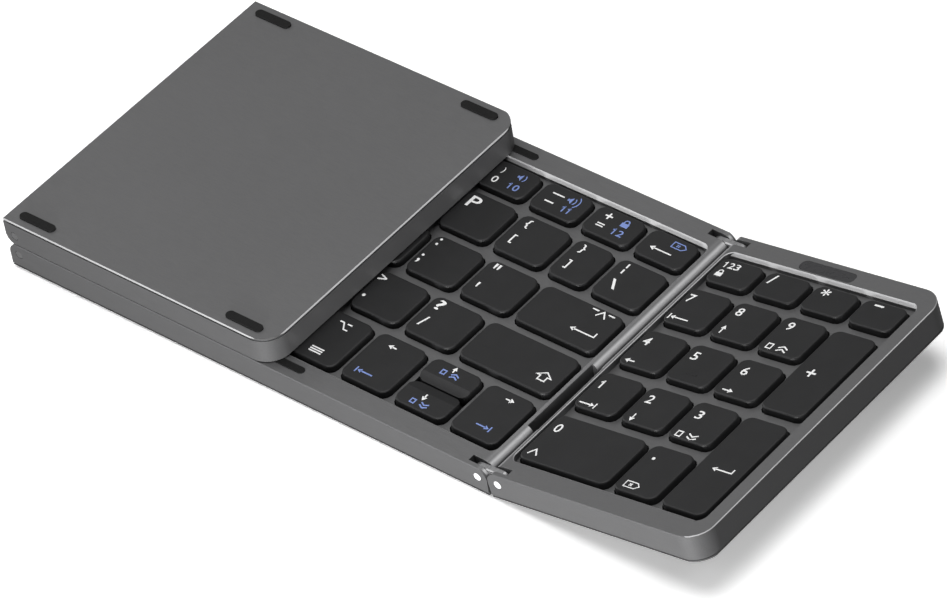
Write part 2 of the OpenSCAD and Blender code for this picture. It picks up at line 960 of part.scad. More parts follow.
module key_left() {
    middle_key(row5(leftkey_x, left_key_w));
}

module key_up() {
    color(black) at_middle()
        half_slope([updown_x, key_w, half_up_y, half_up_d], half_up_y + up_slope, half_up_y);
}

module key_down() {
    color(black) at_middle() half_slope([updown_x, key_w, row5_y, half_down_d],
        row5_y + half_down_d - down_slope, row5_y + half_down_d);
}

module key_right() {
    middle_key(row5(m_right - right_key_w, right_key_w));
}

module pad_lock() {
    pad_key(pad1(0));
}

module pad_divide() {
    pad_key(pad1(1));
}

module pad_multiply() {
    pad_key(pad1(2));
}

module pad_minus() {
    pad_key(pad1(3));
}

module pad_7() {
    pad_key(pad2(0));
}

module pad_8() {
    pad_key(pad2(1));
}

module pad_9() {
    pad_key(pad2(2));
}

module pad_plus() {
    pad_key(pad_key_at(3, row3_y, plus_d));
}

module pad_4() {
    pad_key(pad3(0));
}

module pad_5() {
    color(black) at_right() {
        key_cap(pad3(1));
        home_bump(pad3(1));
    }
}

module pad_6() {
    pad_key(pad3(2));
}

module pad_1() {
    pad_key(pad4(0));
}

module pad_2() {
    pad_key(pad4(1));
}

module pad_3() {
    pad_key(pad4(2));
}

module pad_enter() {
    pad_key([pad_x(3), pad_w, row5_y, enter_d]);
}

module pad_0() {
    pad_key(row5(pad_x(0), zero_w));
}

module pad_point() {
    pad_key(row5(pad_x(2), pad_w));
}

// ---- one line a sub-part ----

middle_bottom_cover();
middle_top_frame();
middle_key_plate();
battery();
middle_feet();
fold_bumpers();
left_bottom_cover();
left_top_frame();
left_key_plate();
left_feet();
left_wing_keys();
right_bottom_cover();
right_top_frame();
right_key_plate();
right_feet();
indicator_window();
controller_board();
left_hinge_links();
left_hinge_pins();
right_hinge_links();
right_hinge_pins();
left_flex_cable();
right_flex_cable();
middle_covered_keys();
key_0();
key_minus();
key_equals();
key_backspace();
key_p();
key_open_bracket();
key_close_bracket();
key_backslash();
key_semicolon();
key_quote();
key_return();
key_period();
key_slash();
key_shift();
key_option();
key_left();
key_up();
key_down();
key_right();
pad_lock();
pad_divide();
pad_multiply();
pad_minus();
pad_7();
pad_8();
pad_9();
pad_plus();
pad_4();
pad_5();
pad_6();
pad_1();
pad_2();
pad_3();
pad_enter();
pad_0();
pad_point();
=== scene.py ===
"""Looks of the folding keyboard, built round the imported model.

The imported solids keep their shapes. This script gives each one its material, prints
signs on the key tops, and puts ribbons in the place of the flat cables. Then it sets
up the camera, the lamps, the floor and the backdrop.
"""

import json
import math

import bmesh
import bpy
from mathutils import Matrix, Vector
from mathutils.bvhtree import BVHTree


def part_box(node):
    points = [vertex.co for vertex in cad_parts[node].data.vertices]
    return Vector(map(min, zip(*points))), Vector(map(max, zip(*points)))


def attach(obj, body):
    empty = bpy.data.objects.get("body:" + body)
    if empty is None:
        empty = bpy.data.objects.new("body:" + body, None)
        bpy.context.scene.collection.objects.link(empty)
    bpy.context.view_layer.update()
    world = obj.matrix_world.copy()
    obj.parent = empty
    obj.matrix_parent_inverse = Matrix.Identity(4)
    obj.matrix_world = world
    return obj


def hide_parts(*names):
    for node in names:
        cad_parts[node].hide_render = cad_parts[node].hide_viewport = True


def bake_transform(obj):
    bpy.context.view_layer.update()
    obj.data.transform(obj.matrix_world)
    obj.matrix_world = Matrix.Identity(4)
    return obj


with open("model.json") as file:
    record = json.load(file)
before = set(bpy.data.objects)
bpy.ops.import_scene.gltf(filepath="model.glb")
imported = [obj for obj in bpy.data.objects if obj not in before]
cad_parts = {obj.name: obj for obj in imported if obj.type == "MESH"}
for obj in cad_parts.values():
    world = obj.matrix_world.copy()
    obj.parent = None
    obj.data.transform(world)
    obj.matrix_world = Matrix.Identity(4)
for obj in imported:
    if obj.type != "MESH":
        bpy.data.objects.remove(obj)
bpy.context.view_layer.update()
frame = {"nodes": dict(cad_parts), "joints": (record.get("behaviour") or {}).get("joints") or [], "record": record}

MM = 0.001
NODES = frame["nodes"]
JOINTS = {j["name"]: j for j in frame["joints"]}
BODY_OF = {n: b for b, ns in frame["record"]["behaviour"]["bodies"].items() for n in ns}

# ---- the panels' own frames, in millimetres, as in the CAD source ----

# the hinge pin of the right panel, in that panel's frame
PIN_X = 3.3
PIN_Z = 5.1
# a height above every key cap, from which rays are cast down on the caps
TOP_Z = 12.0
# the pad keys travel square to the raised right panel, which gives its tilt
PAD_AXIS = JOINTS["pad_5_travel"]["axis"]
TILT = math.atan2(PAD_AXIS[0], -PAD_AXIS[2])


def middle_matrix():
    """From the middle panel's frame to the row frame."""
    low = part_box("middle_top_frame")[0]
    floor_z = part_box("middle_bottom_cover")[0].z
    return Matrix.Translation((low.x, low.y, floor_z)) @ Matrix.Scale(MM, 4)


def right_matrix():
    """From the right panel's frame to the row frame, about its raised hinge pin."""
    pin = Vector(JOINTS["right_panel_fold"]["pos_m"])
    low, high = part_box("right_top_frame")
    depth = (high.y - low.y) / MM
    turn = Matrix.Rotation(-TILT, 4, "Y")
    seat = Matrix.Translation((-PIN_X, -depth / 2, -PIN_Z))
    return Matrix.Translation(pin) @ turn @ Matrix.Scale(MM, 4) @ seat


MIDDLE = middle_matrix()
RIGHT = right_matrix()

# ---- camera, fitted to the outlines and key rows of the photograph ----

IMAGE_W = 947
SENSOR_W = 36.0
FOCAL_PX = 5927.872
CLIP_START = 0.05
CLIP_END = 20
CAM_AZIMUTH = math.radians(46.264)
CAM_ELEVATION = math.radians(42.059)
CAM_ROLL = math.radians(-10.096)
CAM_DISTANCE = 1589.815 * MM
# the point that the camera looks at, in the row frame
CAM_TARGET = Vector((-2.558, 2.518, 0.5)) * MM


def make_camera():
    az, el, roll = CAM_AZIMUTH, CAM_ELEVATION, CAM_ROLL
    back = Vector((math.sin(az) * math.cos(el), -math.cos(az) * math.cos(el), math.sin(el)))
    right = Vector((math.cos(az), math.sin(az), 0))
    up = back.cross(right)
    x_axis = right * math.cos(roll) + up * math.sin(roll)
    y_axis = up * math.cos(roll) - right * math.sin(roll)
    turn = Matrix((x_axis, y_axis, back)).transposed().to_4x4()
    data = bpy.data.cameras.new("photo_camera")
    data.sensor_fit = "HORIZONTAL"
    data.sensor_width = SENSOR_W
    data.lens = SENSOR_W * FOCAL_PX / IMAGE_W
    data.clip_start = CLIP_START
    data.clip_end = CLIP_END
    camera = bpy.data.objects.new("photo_camera", data)
    camera.matrix_world = Matrix.Translation(CAM_TARGET + back * CAM_DISTANCE) @ turn
    bpy.context.scene.collection.objects.link(camera)
    bpy.context.scene.camera = camera


# ---- materials: noise scales are in cycles per metre, bump heights in metres ----

# sockets of the Mix node that carry the factor, the two colours and the result
MIX_FACTOR, MIX_LOW, MIX_HIGH, MIX_RESULT = 0, 6, 7, 2
# a noise seldom leaves this range
NOISE_LOW, NOISE_HIGH = 0.3, 0.7


class Build:
    """A new material with its Principled shader, and short calls for its nodes."""

    def __init__(self, name, rough=0.5, metal=0.0, specular=0.5):
        self.mat = bpy.data.materials.new(name)
        self.mat.use_nodes = True
        self.tree = self.mat.node_tree
        self.shader = self.tree.nodes["Principled BSDF"]
        self.put("Roughness", rough)
        self.put("Metallic", metal)
        self.put("Specular IOR Level", specular)
        self.coords = self.add("ShaderNodeTexCoord").outputs["Object"]

    def add(self, kind, **settings):
        node = self.tree.nodes.new(kind)
        for key, value in settings.items():
            setattr(node, key, value)
        return node

    def put(self, socket, value):
        self.shader.inputs[socket].default_value = value

    def link(self, out, into):
        self.tree.links.new(out, into)

    def mapped(self, scale, turn_y=0.0):
        """The object's own coordinates, by one scale for all axes or one for each."""
        node = self.add("ShaderNodeMapping")
        each = scale if isinstance(scale, tuple) else (scale,) * 3
        node.inputs["Scale"].default_value = each
        node.inputs["Rotation"].default_value = (0, turn_y, 0)
        self.link(self.coords, node.inputs["Vector"])
        return node.outputs["Vector"]

    def noise(self, scale, detail, rough=0.5, turn_y=0.0):
        node = self.add("ShaderNodeTexNoise")
        node.inputs["Scale"].default_value = 1.0
        node.inputs["Detail"].default_value = detail
        node.inputs["Roughness"].default_value = rough
        self.link(self.mapped(scale, turn_y), node.inputs["Vector"])
        return node.outputs["Fac"]

    def ramp(self, value, low, high, out_low, out_high):
        node = self.add("ShaderNodeMapRange")
        for socket, number in (("From Min", low), ("From Max", high),
                               ("To Min", out_low), ("To Max", out_high)):
            node.inputs[socket].default_value = number
        self.link(value, node.inputs["Value"])
        return node.outputs["Result"]

    def spread(self, noise, out_low=0, out_high=1):
        """The range that a noise keeps to, stretched to another."""
        return self.ramp(noise, NOISE_LOW, NOISE_HIGH, out_low, out_high)

    def mix(self, factor, low, high):
        """A colour between two, where each is a colour or another node's output."""
        node = self.add("ShaderNodeMix", data_type="RGBA")
        for index, value in ((MIX_LOW, low), (MIX_HIGH, high)):
            if isinstance(value, tuple):
                node.inputs[index].default_value = (*value, 1)
            else:
                self.link(value, node.inputs[index])
        self.link(factor, node.inputs[MIX_FACTOR])
        return node.outputs[MIX_RESULT]

    def maths(self, operation, first, second=0):
        node = self.add("ShaderNodeMath", operation=operation)
        for index, value in enumerate((first, second)):
            if isinstance(value, (int, float)):
                node.inputs[index].default_value = value
            else:
                self.link(value, node.inputs[index])
        return node.outputs[0]

    def colour(self, out):
        self.link(out, self.shader.inputs["Base Color"])

    def roughness(self, out):
        self.link(out, self.shader.inputs["Roughness"])

    def bump(self, height, distance, strength=1.0):
        node = self.add("ShaderNodeBump")
        node.inputs["Distance"].default_value = distance
        node.inputs["Strength"].default_value = strength
        self.link(height, node.inputs["Height"])
        self.link(node.outputs["Normal"], self.shader.inputs["Normal"])


def shades(colour, spread):
    """The darker and the lighter colour either side of one."""
    return tuple(c * (1 - spread) for c in colour), tuple(c * (1 + spread) for c in colour)


def grained(name, scale, detail, colours, rough_range=None, bump=None, **base):
    """A material whose one noise shades its colour, its roughness and its relief."""
    b = Build(name, **base)
    grain = b.noise(scale, detail)
    b.colour(b.mix(b.spread(grain), *colours))
    if rough_range:
        b.roughness(b.spread(grain, *rough_range))
    if bump:
        b.bump(grain, *bump)
    return b.mat


# streaks of the brushing run along the rows of keys, 4 mm long and 0.3 mm wide
STREAK = (240.0, 3000.0, 3000.0)
STREAK_SHARE = 0.6
# how far the grain strays from the grey, how light the clouds are against it, and how much
# of them shows
GRAIN_SPREAD = 0.08
CLOUD_LIFT = 1.35
CLOUD_SHARE = 0.12
GREY = (0.136, 0.136, 0.138)
# chamfer colours that paint light on the edges: a darker grey as painted shade on the frame's outer bevels, a
# light grey as painted highlight on the frame's inner chamfers and on the cover's edges
OUTER_CHAMFER_PAINTED_SHADE = (0.115, 0.115, 0.117)
INNER_CHAMFER_PAINTED_HIGHLIGHT = (0.4, 0.4, 0.405)
COVER_CHAMFER_PAINTED_HIGHLIGHT = (0.42, 0.42, 0.425)
# how far the top frame's outer bevels reach in from its front and back
BEVEL_REACH = 0.6 * MM
# a face is a chamfer where the upright part of its normal lies between these, and each
# pair is where the chamfer's painted light fades in or out
CHAMFER_FROM = (0.42, 0.56)
CHAMFER_TO = (0.82, 0.92)


def brushed_grey(name, turn_y=0.0):
    """Satin grey anodised aluminium with a fine brushed grain."""
    b = Build(name, metal=0.5, specular=0.4)
    streaks = b.noise(STREAK, 4, rough=0.65, turn_y=turn_y)
    grain = b.noise(2600.0, 2)
    clouds = b.noise(22.0, 2)
    both = b.maths("ADD", b.maths("MULTIPLY", streaks, STREAK_SHARE),
                   b.maths("MULTIPLY", grain, 1 - STREAK_SHARE))
    fine = b.mix(b.spread(both), *shades(GREY, GRAIN_SPREAD))
    lighter = tuple(c * CLOUD_LIFT for c in GREY)
    b.colour(b.mix(b.spread(clouds, 0, CLOUD_SHARE), fine, lighter))
    b.roughness(b.spread(both, 0.34, 0.46))
    b.bump(both, 0.00002, 0.35)
    return b


def paint_chamfer_light(b, colour, inner=None, inner_y=0.0):
    """Gives chamfers a colour of their own as painted light, and those within inner_y of the middle another."""
    normal = b.add("ShaderNodeSeparateXYZ")
    b.link(b.add("ShaderNodeTexCoord").outputs["Normal"], normal.inputs[0])
    slope = b.maths("ABSOLUTE", normal.outputs["Z"])
    edge = b.maths("MULTIPLY", b.ramp(slope, *CHAMFER_FROM, 0, 1),
                   b.ramp(slope, *CHAMFER_TO, 1, 0))
    if inner:
        across = b.add("ShaderNodeSeparateXYZ")
        b.link(b.coords, across.inputs[0])
        away = b.maths("ABSOLUTE", across.outputs["Y"])
        colour = b.mix(b.maths("LESS_THAN", away, inner_y), colour, inner)
    plain = b.shader.inputs["Base Color"].links[0].from_socket
    b.colour(b.mix(edge, plain, colour))
    return b.mat


def key_black():
    """Satin black plastic with a fine spark grain and faint clouds."""
    b = Build("key_black", specular=0.22)
    grain = b.noise(5200.0, 2)
    cloud = b.noise(160.0, 3)
    fine = b.mix(b.spread(grain), (0.01, 0.01, 0.0105), (0.015, 0.015, 0.0155))
    b.colour(b.mix(b.ramp(cloud, 0.35, 0.65, 0, 0.25), fine, (0.021, 0.021, 0.022)))
    b.roughness(b.spread(grain, 0.44, 0.58))
    b.bump(grain, 0.00001, 0.4)
    return b.mat


def rubber():
    return grained("rubber", 2800.0, 4, ((0.004, 0.004, 0.004), (0.009, 0.009, 0.009)),
                   bump=(0.00004, 0.6), rough=0.75, specular=0.16)


def turned_steel(name, colour, metal, spread=0.12):
    """Steel with fine turning marks along the hinge axis."""
    return grained(name, (3200.0, 500.0, 3200.0), 3, shades(colour, spread), (0.26, 0.42),
                   (0.00001, 0.5), metal=metal)


def smoked_window():
    return grained("smoked_window", 700.0, 4, ((0.028, 0.028, 0.03), (0.032, 0.032, 0.034)),
                   (0.26, 0.3), specular=0.4)


def print_ink(name, colour):
    b = Build(name, rough=0.55, specular=0.3)
    speck = b.noise(6000.0, 2)
    b.colour(b.mix(b.ramp(speck, 0.35, 0.65, 0, 1), *shades(colour, 0.05)))
    b.bump(speck, 0.00001, 0.3)
    return b.mat


def plain_sheet():
    b = Build("plain_sheet", metal=0.3)
    rolled = b.noise((90.0, 2400.0, 2400.0), 4)
    b.colour(b.mix(rolled, (0.022, 0.022, 0.023), (0.034, 0.034, 0.035)))
    b.roughness(b.spread(rolled, 0.3, 0.5))
    return b.mat


def foil_pouch():
    b = Build("foil_pouch", rough=0.35, metal=0.8)
    creases = b.noise(260.0, 6, rough=0.7)
    b.colour(b.mix(creases, (0.42, 0.42, 0.43), (0.62, 0.62, 0.64)))
    b.bump(creases, 0.0003, 0.5)
    return b.mat


def solder_mask():
    """Dark green lacquer with the faint relief of the tracks below it."""
    b = Build("solder_mask", rough=0.35)
    tracks = b.add("ShaderNodeTexBrick", offset=0.35)
    tracks.inputs["Scale"].default_value = 420.0
    tracks.inputs["Mortar Size"].default_value = 0.05
    greens = {"Color1": (0.005, 0.02, 0.01), "Color2": (0.006, 0.025, 0.012),
              "Mortar": (0.012, 0.045, 0.022)}
    for socket, green in greens.items():
        tracks.inputs[socket].default_value = (*green, 1)
    b.link(b.coords, tracks.inputs["Vector"])
    b.colour(tracks.outputs["Color"])
    b.bump(tracks.outputs["Fac"], 0.00005, 0.4)
    return b.mat


def flat_cable():
    """Black film with the lines of its conductors."""
    b = Build("flat_cable", rough=0.6, specular=0.15)
    lines = b.add("ShaderNodeTexWave", bands_direction="Y")
    lines.inputs["Scale"].default_value = 320.0
    b.link(b.coords, lines.inputs["Vector"])
    b.colour(b.mix(lines.outputs["Fac"], (0.002, 0.002, 0.002), (0.008, 0.007, 0.006)))
    b.bump(lines.outputs["Fac"], 0.00004, 0.4)
    return b.mat


def dress(node, mat):
    slots = NODES[node].data.materials
    slots.clear()
    slots.append(mat)


def frame_metal(name, turn_y=0.0):
    # the outer bevels at front and back take the painted shade, the chamfers nearer the middle the painted
    # highlight
    rim_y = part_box("middle_top_frame")[1].y - BEVEL_REACH
    return paint_chamfer_light(brushed_grey(name, turn_y), OUTER_CHAMFER_PAINTED_SHADE, INNER_CHAMFER_PAINTED_HIGHLIGHT, rim_y)


def cover_metal(name, turn_y=0.0):
    # the cover's chamfers take a painted highlight
    return paint_chamfer_light(brushed_grey(name, turn_y), COVER_CHAMFER_PAINTED_HIGHLIGHT)


def dress_all(cable):
    """Gives every node of the part its material, by its name or its last word."""
    frame_level, frame_tilted = frame_metal("frame_grey"), frame_metal("frame_grey_tilted", TILT)
    cover_level, cover_tilted = cover_metal("cover_grey"), cover_metal("cover_grey_tilted", TILT)
    keys, feet, sheet = key_black(), rubber(), plain_sheet()
    link = turned_steel("link_steel", (0.34, 0.34, 0.345), 0.85)
    exact = {
        "middle_top_frame": frame_level, "left_top_frame": frame_level,
        "right_top_frame": frame_tilted, "right_bottom_cover": cover_tilted,
        "middle_bottom_cover": cover_level, "left_bottom_cover": cover_level,
        "left_hinge_links": link, "right_hinge_links": link,
        # the same steel pins in two colours: the left ones dark grey as painted shade, the right ones near white
        # as a painted highlight
        "left_hinge_pins": turned_steel("pin_steel_painted_shade", (0.15, 0.15, 0.152), 0.4),
        "right_hinge_pins": turned_steel("pin_steel_painted_highlight", (0.85, 0.85, 0.86), 0.3, 0.04),
        "indicator_window": smoked_window(), "controller_board": solder_mask(),
        "battery": foil_pouch(), "fold_bumpers": feet,
    }
    last_word = {"plate": sheet, "feet": feet, "cable": cable}
    for name in NODES:
        dress(name, exact.get(name, last_word.get(name.split("_")[-1], keys)))


# ---- printed key tops: flat shapes as (points, faces), in millimetres ----

# how far the ink stands above the cap, and how far it reaches into it
PRINT_UP = 0.02
PRINT_DOWN = 0.05
# line widths of the signs
LINE = 0.42
FINE_LINE = 0.3
# an arrow's head: its length, the most of a short arrow that it takes up, and its half
# width as a share of its length
HEAD = 1.4
HEAD_SHARE = 0.58
HEAD_HALF = 0.6
# the shaft ends this far short of the tip, as a share of the head
SHAFT_SHORT = 0.8
# a mitred corner reaches out no further than the width over twice this
MITRE_LEAST = 0.4


def poly(*points):
    return list(points), [tuple(range(len(points)))]


def bar(cx, cy, w, h):
    x, y = w / 2, h / 2
    return poly((cx - x, cy - y), (cx + x, cy - y), (cx + x, cy + y), (cx - x, cy + y))


def disc(cx, cy, r, steps=16):
    turn = 2 * math.pi / steps
    return poly(*[(cx + r * math.cos(i * turn), cy + r * math.sin(i * turn)) for i in range(steps)])


def stroke(points, width, closed=False):
    """A line of constant width through the points, with mitred corners."""
    n = len(points)
    sides = []
    for i, (x, y) in enumerate(points):
        before = points[i - 1] if i or closed else points[i]
        after = points[(i + 1) % n] if i < n - 1 or closed else points[i]
        a = Vector((x - before[0], y - before[1]))
        b = Vector((after[0] - x, after[1] - y))
        a = a.normalized() if a.length else b.normalized()
        b = b.normalized() if b.length else a
        side = Vector((-a.y - b.y, a.x + b.x)).normalized()
        reach = width / 2 / max(MITRE_LEAST, side.dot(Vector((-a.y, a.x))))
        sides.append(((x + side.x * reach, y + side.y * reach),
                      (x - side.x * reach, y - side.y * reach)))
    verts = [p for pair in sides for p in pair]
    spans = range(n if closed else n - 1)
    faces = [(2 * i + 1, 2 * ((i + 1) % n) + 1, 2 * ((i + 1) % n), 2 * i) for i in spans]
    return verts, faces


def arc(cx, cy, r, start, end, steps=8):
    angles = [math.radians(start + (end - start) * i / steps) for i in range(steps + 1)]
    return [(cx + r * math.cos(a), cy + r * math.sin(a)) for a in angles]


def head(x, y, dx, dy, size):
    """A solid arrow head with its tip at (x, y), pointing along (dx, dy)."""
    d = Vector((dx, dy)).normalized() * size
    s = Vector((-d.y, d.x)) * HEAD_HALF
    return poly((x, y), (x - d.x + s.x, y - d.y + s.y), (x - d.x - s.x, y - d.y - s.y))


def arrow(x0, y0, x1, y1, width, size):
    d = Vector((x1 - x0, y1 - y0)).normalized() * size * SHAFT_SHORT
    return [stroke([(x0, y0), (x1 - d.x, y1 - d.y)], width), head(x1, y1, d.x, d.y, size)]


def arrow_icon(dx, dy):
    def draw(w, h):
        x, y = dx * w / 2, dy * h / 2
        return arrow(-x, -y, x, y, LINE, min(HEAD, HEAD_SHARE * max(w, h)))
    return draw


def long_left(w, h):
    return arrow(w / 2, 0, -w / 2, 0, 0.4, h)


def speaker(waves):
    """A loudspeaker with one or more sound waves."""
    def draw(w, h):
        x = -w / 2
        cone = [poly((x, -0.4), (x + 0.55, -0.4), (x + 0.55, 0.4), (x, 0.4)),
                poly((x + 0.65, -0.45), (x + 1.45, -h / 2), (x + 1.45, h / 2), (x + 0.65, 0.45))]
        step = (w - 1.9) / waves
        for i in range(waves):
            wave = arc(x + 1.1, 0, 0.75 + step * (i + 0.6), -48, 48)
            cone.append(stroke(wave, FINE_LINE))
        return cone
    return draw


def padlock(w, h):
    body = h * 0.55
    y = -h / 2 + body
    hoop = [(-w * 0.3, y), *arc(0, y + h * 0.15, w * 0.3, 180, 0), (w * 0.3, y)]
    return [bar(0, -h / 2 + body / 2, w, body), stroke(hoop, 0.36)]


def erase(w, h):
    """Outlined tag with a cross in it: delete."""
    x, y = w / 2, h / 2
    tag = [(x, 0), (x - h / 2, y), (-x, y), (-x, -y), (x - h / 2, -y)]
    c, r = -h * 0.22, h * 0.2
    cross = [stroke([(c - r, s * -r), (c + r, s * r)], 0.34) for s in (1, -1)]
    return [stroke(tag, FINE_LINE, closed=True), *cross]


def to_bar(side):
    """Arrow against a bar: start of the line, or its end."""
    def draw(w, h):
        x = side * w / 2
        return [bar(x - side * 0.2, 0, 0.4, h), *arrow(-x, 0, x - side * 0.6, 0, LINE, 1.3)]
    return draw


def page_arrow(side):
    """A sheet and a double chevron: a page up or down."""
    def draw(w, h):
        x, y = -w / 2 + h * 0.36, h / 2 - 0.18
        sheet = [(x - h * 0.36, -y), (x + h * 0.36, -y), (x + h * 0.36, y), (x - h * 0.36, y)]
        shapes = [stroke(sheet, 0.36, closed=True)]
        c, half = w / 2 - h * 0.7, h * 0.7
        for low in (-0.5, 0.05):
            tip, foot = low * h + h * 0.45, low * h + 0.1
            shapes.append(stroke([(c - half, side * foot), (c, side * tip),
                                  (c + half, side * foot)], LINE))
        return shapes
    return draw


def return_icon(w, h):
    x, y = w / 2, h / 2
    shapes = [stroke([(x - 0.2, y), (x - 0.2, -y * 0.3), (-x + 1.0, -y * 0.3)], LINE)]
    return shapes + [head(-x, -y * 0.3, -1, 0, HEAD)]


def enter_icon(w, h):
    x, y = w / 2, h / 2
    roof = [(-1.5, -y), (0, y), (1.5, -y)]
    wings = [bar(s * (x / 2 + 0.8), y - 0.3, x - 1.6, LINE) for s in (-1, 1)]
    return [stroke(roof, LINE), *wings]


def shift_icon(w, h):
    x, y = w / 2, h / 2
    outline = [(0, y), (x, 0), (x / 2, 0), (x / 2, -y), (-x / 2, -y), (-x / 2, 0), (-x, 0)]
    return [stroke(outline, 0.38, closed=True)]


def branch_icon(w, h):
    """A step down beside a level line: the other choice."""
    x, y = w / 2, h / 2
    return [stroke([(-x, y), (-x * 0.35, y), (x * 0.35, -y), (x, -y)], LINE),
            bar(x * 0.62, y, x * 0.76, LINE)]


def steps_icon(w, h):
    return [bar(0, s * h * 0.36, w, LINE) for s in (-1, 0, 1)]


def caret(w, h):
    return [stroke([(-w / 2, -h / 2), (0, h / 2), (w / 2, -h / 2)], LINE)]


def broken_bar(w, h):
    return [bar(0, s * h * 0.28, w, h * 0.4) for s in (-1, 1)]


def dash(w, h):
    return [bar(0, 0, w, h)]


def dot(w, h):
    return [disc(0, 0, h / 2)]


ICONS = {
    "left": arrow_icon(-1, 0), "right": arrow_icon(1, 0), "up": arrow_icon(0, 1),
    "down": arrow_icon(0, -1), "long_left": long_left, "speaker": speaker(1),
    "speaker_up": speaker(2), "padlock": padlock, "erase": erase, "start": to_bar(-1),
    "end": to_bar(1), "page_up": page_arrow(1), "page_down": page_arrow(-1),
    "return": return_icon, "enter": enter_icon, "shift": shift_icon, "branch": branch_icon,
    "steps": steps_icon, "caret": caret, "broken_bar": broken_bar, "dash": dash, "dot": dot,
}


# the font's curves in straight parts, and how much bolder it is made, as a share of its size
GLYPH_PARTS = 3
GLYPH_BOLD = 0.009
# the part of its place that a figure fills in a number
FIGURE_SHARE = 0.86


def glyph(text, w, h):
    """A sign of Blender's own font as flat faces, h high and w wide round the origin."""
    curve = bpy.data.curves.new("glyph", "FONT")
    curve.body = text
    curve.resolution_u = GLYPH_PARTS
    curve.offset = GLYPH_BOLD
    probe = bpy.data.objects.new("glyph", curve)
    bpy.context.scene.collection.objects.link(probe)
    bpy.context.view_layer.update()
    mesh = probe.evaluated_get(bpy.context.evaluated_depsgraph_get()).to_mesh()
    points = [(v.co.x, v.co.y) for v in mesh.vertices]
    faces = [tuple(p.vertices) for p in mesh.polygons]
    bpy.data.objects.remove(probe)
    bpy.data.curves.remove(curve)
    xs, ys = zip(*points)
    sy = h / (max(ys) - min(ys))
    sx = w / (max(xs) - min(xs)) if w else sy
    cx, cy = (max(xs) + min(xs)) / 2, (max(ys) + min(ys)) / 2
    return [([((x - cx) * sx, (y - cy) * sy) for x, y in points], faces)]


def one(h):
    """The figure 1, with the flag that Blender's font leaves off."""
    return [bar(0, 0, 0.16 * h, h), stroke([(-0.26 * h, 0.2 * h), (0, 0.42 * h)], 0.14 * h)]


def number(text, w, h):
    """Figures set side by side to fill the width."""
    shapes = []
    step = w / len(text)
    for i, figure in enumerate(text):
        drawn = one(h) if figure == "1" else glyph(figure, step * FIGURE_SHARE, h)
        shift = (i + 0.5) * step - w / 2
        shapes += [([(x + shift, y) for x, y in points], faces) for points, faces in drawn]
    return shapes


# faces below this area, in square millimetres, are left out
LEAST_AREA = 1e-7


def area_of(points, face):
    """The area of a face, below zero where its points run clockwise."""
    ring = [points[i] for i in face]
    return sum(a[0] * b[1] - b[0] * a[1] for a, b in zip(ring, ring[1:] + ring[:1])) / 2


def merged(points, faces):
    """The same faces with points at one place made one, each face anticlockwise."""
    index, place, unique = {}, [], []
    for x, y in points:
        spot = (round(x, 4), round(y, 4))
        if spot not in index:
            index[spot] = len(unique)
            unique.append((x, y))
        place.append(index[spot])
    out = []
    for face in faces:
        ring = [place[i] for i in face]
        ring = [v for i, v in enumerate(ring) if v != ring[i - 1]]
        area = area_of(unique, ring) if len(ring) > 2 else 0
        if abs(area) > LEAST_AREA:
            out.append(ring if area > 0 else ring[::-1])
    return unique, out


